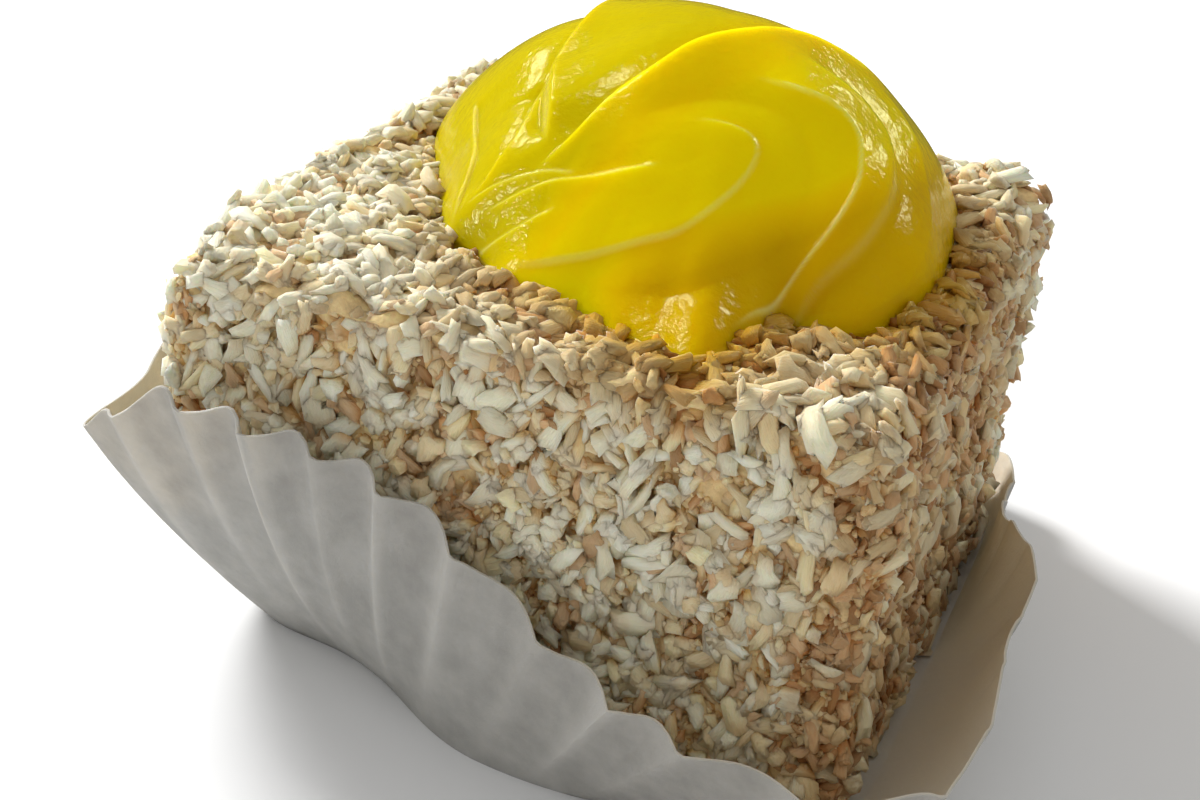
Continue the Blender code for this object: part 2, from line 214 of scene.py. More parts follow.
# Width and start of the painted highlight, also standing for wear, along the crests.
CASE_HIGHLIGHT_AND_WEAR_WIDTH = 0.15
CASE_HIGHLIGHT_AND_WEAR_RISE = (0.0, 0.5)
# Painted light on the paper's inner side rises over this span along X.
INNER_PAINTED_LIGHT_RISE = (-5.0, 20.0)
CASE_PHASE = -2.0
CASE_DRIFTS = ((259, 26, 5.6), (300, 14, 3.0), (120, 40, 2.0), (170, 30, -1.5))

SWIRL_CENTRE = (3.0, 9.0)
SWIRL_SHOULDER = 1.90
SWIRL_ROUNDNESS = 0.75
SWIRL_SLOPES = ((272, 75, 0.27), (200, 45, 0.10))
SWIRL_TIP_POWER = 6
SWIRL_CROWDING = 0.95
SWIRL_BROAD_LOBES = ((152, 56, 7.0), (90, 75, -4.9), (262, 60, 5.0), (5, 40, -1.6), (322, 40, 2.6))
SWIRL_NARROW_LOBES = ((243, 14, -1.6), (286, 20, 5.6), (288, 7, 2.4), (314, 16, 2.2), (302, 8, -1.2))

# Folds of the curd.  Each runs along a few points of the plan, in mm.  The two pairs say
# how far the surface moves up on its left and on its right, and how far out that is felt;
# the last two are the width of the edge between them and the height of the bead on it,
# which also sets the painted highlight along the fold.
SWIRL_FOLDS = {
    "left petal": (
        ((-21.5, 6.0), (-19.2, 1.1), (-16.6, -4.4), (-15.7, -7.6), (-15.2, -10.6), (-14.6, -13.5)),
        (-0.5, 3.0), (0.3, 2.0), 0.25, 0.10),
    "pinch wedge": (
        ((-12.6, 3.0), (-12.2, -1.5), (-11.9, -5.0), (-12.2, -8.5), (-13.2, -11.5)),
        (0.5, 2.2), (-0.8, 2.2), 0.20, 0.06),
    "second petal": (
        ((-9.5, 20.0), (-11.6, 15.0), (-12.2, 9.4), (-12.4, 3.8), (-11.6, 0.4), (-10.6, -2.4),
         (-8.9, -6.3), (-7.4, -9.6)),
        (0.9, 3.5), (-1.4, 2.8), 0.20, 0.08),
    "long sweep": (
        ((19.0, 20.0), (13.0, 14.5), (8.7, 10.3), (6.3, 6.9), (3.8, 4.3), (1.6, 1.5), (-0.7, -2.7),
         (-3.1, -6.2), (-5.1, -9.7), (-8.0, -12.6)),
        (0.6, 4.0), (-0.9, 4.2), 0.22, 0.02),
    "middle ridge": (
        ((-11.5, -13.9), (-7.9, -13.7), (-5.5, -13.6), (-3.0, -13.6), (-0.6, -13.2), (2.0, -12.2),
         (4.6, -11.0)),
        (-0.3, 1.6), (0.25, 2.5), 0.15, 0.10),
    "pinch ridge": (
        ((-14.0, -12.2), (-11.8, -11.9), (-9.5, -12.0), (-7.2, -12.2), (-5.0, -12.6), (-2.8, -13.1)),
        (-0.25, 1.2), (0.15, 1.4), 0.12, 0.08),
    "lower ridge": (
        ((-11.0, -16.2), (-9.2, -16.6), (-7.2, -16.7), (-5.2, -16.4), (-3.4, -15.9)),
        (-0.2, 1.3), (0.18, 1.5), 0.12, 0.08),
    "inner valley": (
        ((-0.8, -8.7), (1.7, -6.9), (4.4, -4.7), (7.6, -2.7),
         (11.0, -1.9), (13.9, -2.2), (16.0, -4.0), (17.0, -7.0), (16.6, -10.5), (15.4, -13.5),
         (13.4, -17.0), (11.1, -20.0), (7.6, -20.9), (3.5, -21.5)),
        (-0.60, 2.6), (-0.60, 2.6), 1.4, 0.0),
    "outer ridge": (
        ((8.5, 0.4), (11.1, 0.6), (13.8, 1.1), (15.9, 1.7), (17.8, 1.5), (19.2, 0.5), (20.1, -1.4),
         (20.7, -3.6), (20.5, -7.2), (19.6, -10.7), (18.0, -14.0), (16.7, -17.4), (15.3, -21.2)),
        (0.6, 2.2), (0.45, 1.4), 0.18, 0.16),
    "tail edge": (
        ((11.0, 6.5), (14.5, 7.0), (18.0, 7.2), (21.0, 6.0), (22.6, 3.0), (23.4, -1.1), (23.2, -5.0),
         (22.3, -9.0), (20.2, -13.4), (17.9, -18.6), (15.4, -24.5), (14.0, -28.5)),
        (-1.7, 3.2), (0.7, 2.4), 0.45, 0.04),
    "outer lobe": (
        ((17.0, 15.0), (22.5, 11.5), (26.0, 5.5), (27.3, -1.0), (26.6, -7.5), (24.0, -14.0),
         (20.5, -19.5)),
        (0.9, 3.2), (0.9, 3.2), 2.0, 0.0),
    "tongue": (
        ((4.9, -6.5), (6.6, -5.9), (8.6, -5.4), (10.5, -5.4), (11.6, -6.1), (11.9, -7.2),
         (11.7, -8.8), (10.9, -11.2), (9.6, -13.8), (7.9, -15.9), (5.6, -17.2), (3.0, -18.3),
         (0.0, -19.3), (-3.6, -19.9), (-7.0, -19.4)),
        (-0.12, 1.8), (0.25, 3.2), 0.10, 0.09),
}
FOLD_FADE = 0.15
FOLD_ROOT = 1.8
BEAD_WIDTH = 0.16
# How strongly a pale painted highlight is laid along the folds' beads.
EDGE_PAINTED_HIGHLIGHT = 2.6
SPLINE_STEPS = 5

# Painted shade on the curd, from 0 for lemon where it is lit to 1 for amber where it is
# shaded: a plain amount, more where it is low, and what its sides (X and Y parts, start,
# length, change) and its lobes (direction, reach, start and length as shares of the radius,
# change) add; the sides darken its right and front and lighten its left.
CURD_PLAIN_PAINTED_SHADE = 0.23
CURD_LOW_PAINTED_SHADE = 0.22
CURD_SHADE_SIDES = ((1.0, -0.35, -6.0, 34.0, 0.58), (-1.0, -0.5, 4.0, 10.0, -0.24))
CURD_SHADE_LOBES = ((335.0, 70.0, 0.70, 0.20, 0.25), (280.0, 45.0, 0.68, 0.26, 0.24))


def bump(angle, centre, reach):
    """1 in the direction centre, easing to 0 at reach degrees either side of it."""
    away = np.abs((angle - centre + 180.0) % 360.0 - 180.0)
    return np.where(away < reach, 0.5 + 0.5 * np.cos(np.pi * away / reach), 0.0)


def risen(values, start, reach):
    """0 as far as start, then rising evenly to 1 over reach."""
    return np.clip((values - start) / reach, 0.0, 1.0)


def with_lobes(plain, lobes, angle):
    return plain + sum(change * bump(angle, centre, reach) for centre, reach, change in lobes)


def squared_radius(angle, half_side):
    """Radius of a soft-cornered square in each direction."""
    c = np.abs(np.cos(np.radians(angle))) ** CASE_CORNER_POWER
    s = np.abs(np.sin(np.radians(angle))) ** CASE_CORNER_POWER
    return half_side / (c + s) ** (1.0 / CASE_CORNER_POWER)


def case_wall(rim_angle, rise):
    """Direction, radius and height (mm) of the plain wall; rise is 0 at the base, 1 at the rim."""
    angle = rim_angle + with_lobes(0.0, CASE_TWISTS, rim_angle) * (1.0 - rise)
    base = with_lobes(squared_radius(angle, CASE_BASE_HALF), CASE_BASE_LOBES, angle)
    rim = with_lobes(squared_radius(angle, CASE_RIM_HALF), CASE_RIM_LOBES, angle)
    height = with_lobes(CASE_RIM_HEIGHT, CASE_RIM_RISES, angle)
    knee = with_lobes(CASE_STRAIGHT_WALL, CASE_KNEES, angle)
    start, middle, end = (1.0 - rise) ** 2, 2.0 * rise * (1.0 - rise), rise ** 2
    radius = start * base + middle * (base + (rim - base) * (0.5 + 0.5 * knee)) + end * rim
    return angle, radius, middle * height * 0.5 * (1.0 - knee) + end * height


def wall_table(directions=720, rings=40):
    """Radius and height of the wall on an even grid of directions and rises."""
    even = np.arange(directions) * 360.0 / directions
    radii, heights = [], []
    for ring in range(rings + 1):
        angle, radius, height = case_wall(even, ring / rings)
        three_rounds = np.concatenate([angle - 360.0, angle, angle + 360.0])
        radii.append(np.interp(even, three_rounds, np.tile(radius, 3)))
        heights.append(np.interp(even, three_rounds, np.tile(height, 3)))
    return np.array(radii), np.array(heights)


def wall_radius(places, table):
    """Radius of the case's wall beside each place (mm), and infinity above its rim."""
    radii, heights = table
    columns = radii.shape[1]
    angle = np.degrees(np.arctan2(places[:, 1], places[:, 0])) % 360.0
    column = np.round(angle * columns / 360.0).astype(int) % columns
    found = np.full(len(places), np.inf)
    for ring in range(len(radii) - 1, 0, -1):
        low, high = heights[ring - 1][column], heights[ring][column]
        between = (places[:, 2] >= low) & (places[:, 2] < high)
        share = np.clip((places[:, 2] - low) / np.maximum(high - low, 1e-6), 0.0, 1.0)
        radius = radii[ring - 1][column] * (1.0 - share) + radii[ring][column] * share
        found = np.where(between, radius, found)
    return found


def swirl_edge(angle, settings):
    """Broad and full radius (mm) of the curd's outline."""
    broad = with_lobes(settings.radius / MILLIMETRE, SWIRL_BROAD_LOBES, angle)
    return broad, with_lobes(broad, SWIRL_NARROW_LOBES, angle)


def swirl_place(share, angle, settings):
    """Plan position (mm) at a share of the radius; narrow lobes only reach the skirt."""
    broad, full = swirl_edge(angle, settings)
    radius = share * (broad + (full - broad) * share ** SWIRL_TIP_POWER)
    turn = np.radians(angle)
    return SWIRL_CENTRE[0] + radius * np.cos(turn), SWIRL_CENTRE[1] + radius * np.sin(turn)


def spline(points):
    """A smooth line through the points, with a few steps between each two."""
    p = np.array(points, float)
    p = np.vstack([2.0 * p[0] - p[1], p, 2.0 * p[-1] - p[-2]])
    spans = len(p) - 3
    line = []
    for t in np.linspace(0.0, spans, spans * SPLINE_STEPS + 1):
        k = min(int(t), spans - 1)
        u = t - k
        a, b, c, d = p[k:k + 4]
        line.append(0.5 * (2 * b + (c - a) * u + (2 * a - 5 * b + 4 * c - d) * u ** 2
                           + (3 * b - a - 3 * c + d) * u ** 3))
    return np.array(line)


def measure_fold(x, y, points):
    """Distance (mm) of each plan position to a fold's line, its side, and its fade at the ends."""
    line = spline(points)
    lengths = np.hypot(*np.diff(line, axis=0).T)
    starts = np.concatenate([[0.0], np.cumsum(lengths)])
    nearest = np.full(x.shape, np.inf)
    side = np.zeros(x.shape)
    along = np.zeros(x.shape)
    for k, length in enumerate(lengths):
        a, d = line[k], (line[k + 1] - line[k]) / length
        u = np.clip((x - a[0]) * d[0] + (y - a[1]) * d[1], 0.0, length)
        ex, ey = x - a[0] - u * d[0], y - a[1] - u * d[1]
        distance = np.hypot(ex, ey)
        closer = distance < nearest
        nearest = np.where(closer, distance, nearest)
        side = np.where(closer, d[1] * ex - d[0] * ey, side)
        along = np.where(closer, (starts[k] + u) / starts[-1], along)
    fade = np.clip(np.minimum(along, 1.0 - along) / FOLD_FADE, 0.0, 1.0)
    return nearest, side, fade * fade * (3.0 - 2.0 * fade)


def fold_relief(x, y, fold):
    """How far one fold moves the surface (mm) at each plan position, and how much painted highlight
    its bead gets.
    """
    points, (left_amount, left_reach), (right_amount, right_reach), edge, bead = fold
    nearest, side, fade = measure_fold(x, y, points)
    right = 0.5 + 0.5 * np.tanh(side / edge)
    rib = np.exp(-(nearest / BEAD_WIDTH) ** 2)
    change = right * right_amount * np.exp(-nearest / right_reach)
    change += (1.0 - right) * left_amount * np.exp(-nearest / left_reach)
    return (change + bead * rib) * fade, bead * rib * fade


def swirl_shape(x, y, share, angle, settings):
    """Height (mm) of the curd above its sole, and the painted highlight along its folds' beads."""
    roundness = with_lobes(SWIRL_ROUNDNESS, SWIRL_SLOPES, angle)
    shoulder = 1.0 - np.clip(share, 0.0, 1.0) ** SWIRL_SHOULDER
    dome = (settings.height / MILLIMETRE) * shoulder ** roundness
    changes, edges = zip(*(fold_relief(x, y, fold) for fold in SWIRL_FOLDS.values()))
    height = settings.lip / MILLIMETRE + dome + sum(changes) * risen(dome, 0.0, FOLD_ROOT)
    return height, np.clip(sum(edges) * EDGE_PAINTED_HIGHLIGHT, 0.0, 1.0)


def curd_painted_shade(x, y, share, angle, height, settings):
    """How much painted shade the curd gets at each plan position: more towards its shaded right and
    front and low down, less on its lit left.
    """
    depth = CURD_PLAIN_PAINTED_SHADE + CURD_LOW_PAINTED_SHADE * (1.0 - risen(height, 0.0, settings.height / MILLIMETRE))
    for x_part, y_part, start, reach, change in CURD_SHADE_SIDES:
        depth = depth + change * risen(x * x_part + y * y_part, start, reach)
    for centre, spread, start, reach, change in CURD_SHADE_LOBES:
        depth = depth + change * bump(angle, centre, spread) * risen(share, start, reach)
    return np.clip(depth, 0.0, 1.0)


# ---- settings

def a_number(name, description, default, **kind):
    return bpy.props.FloatProperty(name=name, description=description, default=default, **kind)


def a_length(name, description, default):
    return a_number(name, description, default, unit="LENGTH")


def an_angle(name, description, default):
    return a_number(name, description, default, subtype="ANGLE")


def a_colour(name, description, default):
    return bpy.props.FloatVectorProperty(
        name=name, description=description, default=default, subtype="COLOR", size=3)


class CakeBlockSettings(bpy.types.PropertyGroup):
    side: a_length("Side", "Width of the cream-coated block", 0.0650)
    top: a_length("Top", "Height of the block's cream top", TOPPING_LOW.z - CLEARANCE)
    rounding: a_length("Rounding", "Radius of the block's edges", 0.0025)
    cream: a_colour("Cream", "Colour of the cream between the flakes", (0.92, 0.67, 0.33))


class CoconutSettings(bpy.types.PropertyGroup):
    length: a_length("Length", "Length of a usual flake", 0.0040)
    width: a_length("Width", "Width of a usual flake", 0.0020)
    thickness: a_length("Thickness", "Thickness of a usual flake", 0.0011)
    spacing: a_length("Spacing", "Usual distance between two flakes", 0.00108)
    # Deep is the colour of the painted shade on flakes down between the others.
    deep: a_colour("Deep", "Tint of the flakes down between the others", (1.0, 0.71, 0.40))
    # Stain tints the flakes beside the curd with its stain and painted shadow, and the block's right
    # with painted shade.
    stain_and_shade_colour: a_colour("Stain", "Tint of the flakes beside the curd", (0.56, 0.32, 0.025))
    crumb: a_length("Crumb", "Size of a usual crumb", 0.0007)
    crumb_spacing: a_length("Crumb spacing", "Usual distance between two crumbs", 0.0011)
    crumbs: a_colour("Crumbs", "Colour of the crumbs", (0.92, 0.73, 0.42))
    seed: bpy.props.IntProperty(
        name="Seed", description="Start of the random draws", default=41)
    white: a_colour("White", "Colour of fresh flakes", (1.0, 0.93, 0.68))
    cream: a_colour("Cream", "Colour of lightly dried flakes", (0.94, 0.77, 0.47))
    toasted: a_colour("Toasted", "Colour of toasted flakes", (0.80, 0.55, 0.31))
    browned: a_colour("Browned", "Colour of the darkest flakes", (0.55, 0.33, 0.15))


class CurdSettings(bpy.types.PropertyGroup):
    radius: a_length("Radius", "Plain radius of the swirl", 0.0265)
    height: a_length("Height", "Height of the dome above its lip", 0.0190)
    lip: a_length("Lip", "Thickness of the curd at its edge", 0.0009)
    cells: bpy.props.IntProperty(
        name="Cells", description="Grid cells across the swirl", default=304)
    # Lemon, golden and amber are the steps of the curd's painted shade, from its lit left to its
    # shaded right, front and low parts.
    lemon: a_colour("Lemon", "Colour of the thin and lit curd", (0.56, 0.45, 0.0))
    golden: a_colour("Golden", "Colour of the curd halfway down", (1.0, 0.71, 0.0))
    amber: a_colour("Amber", "Colour of the deep curd low on the swirl", (0.70, 0.44, 0.0))
    # Edge is the colour of the painted highlight along the folds' beads.
    edge: a_colour("Edge", "Colour of the thin curd along the folds' edges", (1.0, 0.95, 0.38))


class CaseSettings(bpy.types.PropertyGroup):
    flute_depth: a_length("Flute depth", "How far a flute stands out at the rim", 0.0006)
    scallop: a_length("Scallop", "How far each flute lifts the rim", 0.0018)
    paper: a_colour("Paper", "Colour of the paper", (0.40, 0.39, 0.362))
    # Lining is painted light: the inside of the wall on the right is lighter and warmer than the
    # paper.
    inner_painted_light: a_colour("Lining", "Colour of the paper's inner side", (0.66, 0.60, 0.50))


class StageSettings(bpy.types.PropertyGroup):
    azimuth: an_angle("Azimuth", "Camera's turn to the right of the front face", math.radians(19.1))
    elevation: an_angle("Elevation", "Camera's rise above the table", math.radians(27.4))
    roll: an_angle("Roll", "Camera's tilt about its own axis", math.radians(5.8))
    distance: a_length("Distance", "Camera to the point it looks at", 0.204)
    lens: a_number("Lens", "Focal length in millimetres on a 36 mm sensor", 61.47)
    target: bpy.props.FloatVectorProperty(
        name="Target", description="Point that the camera looks at", unit="LENGTH",
        size=3, default=(-0.0017, -0.0036, 0.0205))
    floor: a_colour("Floor", "Colour of the floor", (0.90, 0.90, 0.90))
    sky: a_number("Sky", "Strength of the even light all round", 0.52)
    mirrored_sky: a_number("Mirrored sky", "Strength of the even light seen in glossy surfaces", 0.06)
    key: a_number("Key", "Power of the lamp behind on the left, in watts", 12.4)
    fill: a_number("Fill", "Power of the large lamp in front, in watts", 0.50)
    warm: a_number("Warm", "Power of the warm lamp on the right, in watts", 0.12)


class LemonCakeSettings(bpy.types.PropertyGroup):
    block: bpy.props.PointerProperty(type=CakeBlockSettings)
    coconut: bpy.props.PointerProperty(type=CoconutSettings)
    curd: bpy.props.PointerProperty(type=CurdSettings)
    case: bpy.props.PointerProperty(type=CaseSettings)
    stage: bpy.props.PointerProperty(type=StageSettings)


# ---- mesh helpers

def deselect_all():
    for item in bpy.context.view_layer.objects:
        item.select_set(False)


def add_new(primitive, **values):
    """Add a primitive, with nothing else selected."""
    deselect_all()
    primitive(**values)
    return bpy.context.object


def edit_all():
    """Open the active mesh with all of it selected."""
    bpy.ops.object.mode_set(mode="EDIT")
    bpy.ops.mesh.select_all(action="SELECT")


def add_attribute(item, name, values):
    """Give each point of a mesh a number, or three."""
    kind, key = ("FLOAT", "value") if values.ndim == 1 else ("FLOAT_VECTOR", "vector")
    item.data.attributes.new(name, kind, "POINT").data.foreach_set(key, values.ravel())


def get_points(item):
    points = np.empty(len(item.data.vertices) * 3)
    item.data.vertices.foreach_get("co", points)
    return points.reshape(-1, 3)


def set_points(item, points):
    item.data.vertices.foreach_set("co", np.ascontiguousarray(points, float).ravel())
    item.data.update()


def apply_modifier(item, kind, name, **values):
    """Add a modifier with these values and apply it."""
    modifier = item.modifiers.new(name, kind)
    for key, value in values.items():
        setattr(modifier, key, value)
    bpy.context.view_layer.objects.active = item
    bpy.ops.object.modifier_apply(modifier=modifier.name)


def finish_piece(item, name, material, nodes, smooth_angle=40.0):
    item.name = name
    item.data.name = name
    item.data.materials.clear()
    item.data.materials.append(material)
    deselect_all()
    item.select_set(True)
    bpy.context.view_layer.objects.active = item
    bpy.ops.object.shade_smooth_by_angle(angle=math.radians(smooth_angle))
    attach(item, BODY)
    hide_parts(*nodes)
    return item


# ---- materials

def new_material(name):
    """A node material and its Principled shader."""
    material = bpy.data.materials.new(name)
    material.use_nodes = True
    return material, material.node_tree.nodes["Principled BSDF"]


def set_inputs(node, **values):
    for key, value in values.items():
        node.inputs[key.replace("_", " ")].default_value = value


def add_node(material, kind, **values):
    node = material.node_tree.nodes.new(kind)
    set_inputs(node, **values)
    return node


def link(material, output, socket):
    material.node_tree.links.new(output, socket)


def attribute(material, name, output="Fac"):
    """What a mesh attribute holds, as a number or, from Vector, as three."""
    node = add_node(material, "ShaderNodeAttribute")
    node.attribute_name = name
    return node.outputs[output]


def feed(material, value, socket):
    """Link a value to a socket, or set it there if it is plain."""
    if isinstance(value, bpy.types.NodeSocket):
        link(material, value, socket)
    else:
        socket.default_value = value


def mixed(material, factor, first, second, blend="MIX"):
    """Two colours mixed, as the blend says."""
    node = add_node(material, "ShaderNodeMix")
    node.data_type = "RGBA"
    node.blend_type = blend
    feed(material, factor, node.inputs["Factor"])
    feed(material, first, node.inputs[6])
    feed(material, second, node.inputs[7])
    return node.outputs[2]


def product(material, first, second):
    node = add_node(material, "ShaderNodeMath")
    node.operation = "MULTIPLY"
    feed(material, first, node.inputs[0])
    feed(material, second, node.inputs[1])
    return node.outputs[0]


def object_noise(material, scale, detail=3.0, roughness=0.55):
    """Noise over the piece's own coordinates."""
    place = add_node(material, "ShaderNodeTexCoord")
    noise = add_node(material, "ShaderNodeTexNoise", Scale=scale, Detail=detail, Roughness=roughness)
    link(material, place.outputs["Object"], noise.inputs["Vector"])
    return noise.outputs["Fac"]


def colour_ramp(material, factor, stops):
    ramp = add_node(material, "ShaderNodeValToRGB")
    while len(ramp.color_ramp.elements) < len(stops):
        ramp.color_ramp.elements.new(0.5)
    for element, (position, colour) in zip(ramp.color_ramp.elements, stops):
        element.position = position
        element.color = (*colour, 1.0)
    link(material, factor, ramp.inputs["Fac"])
    return ramp.outputs["Color"]


def add_bump(material, shader, height, strength, distance):
    node = add_node(material, "ShaderNodeBump", Strength=strength, Distance=distance)
    link(material, height, node.inputs["Height"])
    link(material, node.outputs["Normal"], shader.inputs["Normal"])


def scaled(colour, factor):
    return tuple(min(channel * factor, 1.0) for channel in colour)


def cream_material(settings):
    """Cream: patchy and matt, faintly rough."""
    material, shader = new_material("cream_coating")
    patches = object_noise(material, scale=900.0)
    toned = colour_ramp(material, patches, (
        (0.30, scaled(settings.cream, 0.72)), (0.55, settings.cream),
        (0.75, scaled(settings.cream, 1.25))))
    link(material, toned, shader.inputs["Base Color"])
    set_inputs(shader, Roughness=0.62, Subsurface_Weight=0.3, Subsurface_Radius=(1.0, 0.7, 0.4),
               Subsurface_Scale=0.0012)
    add_bump(material, shader, object_noise(material, scale=2600.0), strength=0.5, distance=0.0003)
    return material


def flake_material(name, coconut, plain, tip, roughness):
    """Coconut: each flake has its own tone and browns towards one tip; painted shade darkens and warms
    it low down between others, and it takes the curd's stain with painted shadow and the painted shade
    on the block's right.
    """
    material, shader = new_material(name)
    toned = colour_ramp(material, attribute(material, "tone"), (
        (0.0, scaled(plain, 0.78)), (0.5, plain), (1.0, scaled(plain, 1.12))))
    share = add_node(material, "ShaderNodeMapRange", From_Min=0.28, From_Max=0.62, To_Max=0.55)
    patches = object_noise(material, scale=420.0)
    link(material, product(material, attribute(material, "tip"), patches), share.inputs["Value"])
    tipped = mixed(material, share.outputs["Result"], toned, (*tip, 1.0))
    # Painted shade: flakes are darker and warmer where they lie low, down between the others.
    gap_shades = colour_ramp(material, attribute(material, "high"), (
        (0.15, coconut.deep), (0.75, (1.0, 1.0, 1.0))))
    gap_shaded = mixed(material, 1.0, tipped, gap_shades, "MULTIPLY")
    # The curd's stain with painted shadow, and painted shade on the block's right.
    stain_and_shade_tinted = mixed(
        material, attribute(material, "stain_and_shade"), gap_shaded, (*coconut.stain_and_shade_colour, 1.0), "MULTIPLY")
    link(material, stain_and_shade_tinted, shader.inputs["Base Color"])
    set_inputs(shader, Roughness=roughness, Subsurface_Weight=0.60,
               Subsurface_Radius=(0.60, 0.80, 1.0), Subsurface_Scale=0.0008)
    grain = add_node(material, "ShaderNodeTexNoise", Scale=1.6, Detail=3.0, Roughness=0.6)
    link(material, attribute(material, "fibre", "Vector"), grain.inputs["Vector"])
    add_bump(material, shader, grain.outputs["Fac"], strength=0.48, distance=0.0006)
    return material


def curd_material(settings):
    """Lemon curd, glossy: lemon yellow where it is high and lit, with painted shade turning it golden
    and amber low down and towards its shaded right and front, and a painted highlight along its folds'
    beads.
    """
    material, shader = new_material("lemon_curd")
    # The depth attribute is painted shade: lemon where the curd is lit, amber where it is shaded.
    toned = colour_ramp(material, attribute(material, "depth"), (
        (0.0, scaled(settings.lemon, 0.84)), (0.30, settings.lemon), (0.52, settings.golden),
        (0.78, settings.golden), (1.0, settings.amber)))
    # The thin attribute is a painted highlight along the folds' beads.
    edge_highlighted = mixed(material, attribute(material, "thin"), toned, (*settings.edge, 1.0))
    link(material, edge_highlighted, shader.inputs["Base Color"])
    set_inputs(shader, Roughness=0.11, IOR=1.36, Specular_IOR_Level=0.35, Subsurface_Weight=1.0,
               Subsurface_Radius=(1.0, 0.85, 0.04), Subsurface_Scale=0.0040)
    add_bump(material, shader, object_noise(material, scale=900.0), strength=0.42, distance=0.0003)
    return material


def paper_material(settings):
    """Greaseproof paper: matt and faintly mottled, with a painted highlight along the crests of its
    flutes that also stands for wear, and painted light on its inner side towards the right.
    """
    material, shader = new_material("case_paper")
    mottle = object_noise(material, scale=260.0, detail=5.0, roughness=0.6)
    toned = colour_ramp(material, mottle, (
        (0.32, scaled(settings.paper, 0.84)), (0.68, scaled(settings.paper, 1.10))))
    # Painted light on the inside of the wall towards the right.
    inner_lit = mixed(material, attribute(material, "inside"), toned, (*settings.inner_painted_light, 1.0))
    # Painted highlight along the flutes' crests, which also stands for worn paper.
    crest_highlight_and_wear = product(material, attribute(material, "crest_highlight_and_wear"), 0.62)
    highlight_and_wear = mixed(material, crest_highlight_and_wear, inner_lit, (*scaled(settings.paper, 1.5), 1.0))
    link(material, highlight_and_wear, shader.inputs["Base Color"])
    set_inputs(shader, Roughness=0.72, Subsurface_Weight=0.5, Subsurface_Radius=(1.0, 0.88, 0.70),
               Subsurface_Scale=0.0010)
    fibres = object_noise(material, scale=800.0, detail=5.0, roughness=0.7)
    add_bump(material, shader, fibres, strength=0.40, distance=0.0004)
    return material


# ---- pieces

def ripple(places, steps):
    x_step, y_step, z_step, start = steps
    return np.sin(places[:, 0] * x_step + places[:, 1] * y_step + places[:, 2] * z_step + start)


def ripples_together(places, pair):
    return ripple(places, pair[0]) * ripple(places, pair[1])


def swell(places):
    """How far the coated block stands out (mm) at each place: slow bulges and small lumps."""
    slow = sum(ripple(places, steps) for steps in SLOW_BULGES)
    return SWELL_SLOW * slow + SWELL_QUICK * ripples_together(places, QUICK_LUMPS)


def heap(places, facing_up, curd):
    """How much deeper the coating lies (mm) on the top, away from the curd."""
    away = risen(away_from_curd(places, curd), 0.0, HEAP_REACH)
    return TOP_HEAP * np.where(facing_up, away, 0.0)


def rounded_surface(places, block):
    """Move places (mm) on to the rounded block and give the way out at each."""
    top, rounding = block.top / MILLIMETRE, block.rounding / MILLIMETRE
    inner = block.side / 2.0 / MILLIMETRE - rounding
    middle = np.clip(places, (-inner, -inner, -np.inf), (inner, inner, top - rounding))
    outward = places - middle
    length = np.linalg.norm(outward, axis=1)
    outward = outward / np.maximum(length, 1e-6)[:, None]
    return middle + outward * (rounding + swell(places))[:, None], outward


def add_core(settings):
    """The cream block: a divided cube, rounded, swollen into lumps and kept inside the case."""
    block = settings.block
    core = add_new(bpy.ops.mesh.primitive_cube_add, size=1.0, location=(0.0, 0.0, block.top / 2.0))
    core.scale = (block.side, block.side, block.top)
    bpy.ops.object.transform_apply(location=True, rotation=True, scale=True)
    edit_all()
    bpy.ops.mesh.subdivide(number_cuts=CORE_CUTS)
    bpy.ops.object.mode_set(mode="OBJECT")
    points = get_points(core) / MILLIMETRE
    rounded, outward = rounded_surface(points, block)
    patches = ripples_together(points, CREAM_PATCHES) + 0.5 * ripple(points, CREAM_LUMPS)
    lift = CREAM_LIFT + CREAM_SWELL * np.minimum(patches, CREAM_LIMIT)
    rounded += outward * (lift + heap(points, outward[:, 2] > FACING_UP, settings.curd))[:, None]
    rounded[:, 2] = np.where(points[:, 2] < BASE_LEVEL, 0.0, rounded[:, 2])
    set_points(core, keep_inside_case(rounded, CORE_INSET) * MILLIMETRE)
    return finish_piece(core, "cream_core", cream_material(block), ["cake"])


def keep_inside_case(points, inset):
    """Draw points (mm) that would cross the paper in towards the middle."""
    limit = wall_radius(points, wall_table()) - inset
    radius = np.hypot(points[:, 0], points[:, 1])
    share = np.minimum(1.0, limit / np.maximum(radius, 1e-6))
    drawn = points.copy()
    drawn[:, :2] *= share[:, None]
    drawn[:, 2] = np.maximum(drawn[:, 2], (CASE_THICKNESS + CLEARANCE) / MILLIMETRE)
    return drawn


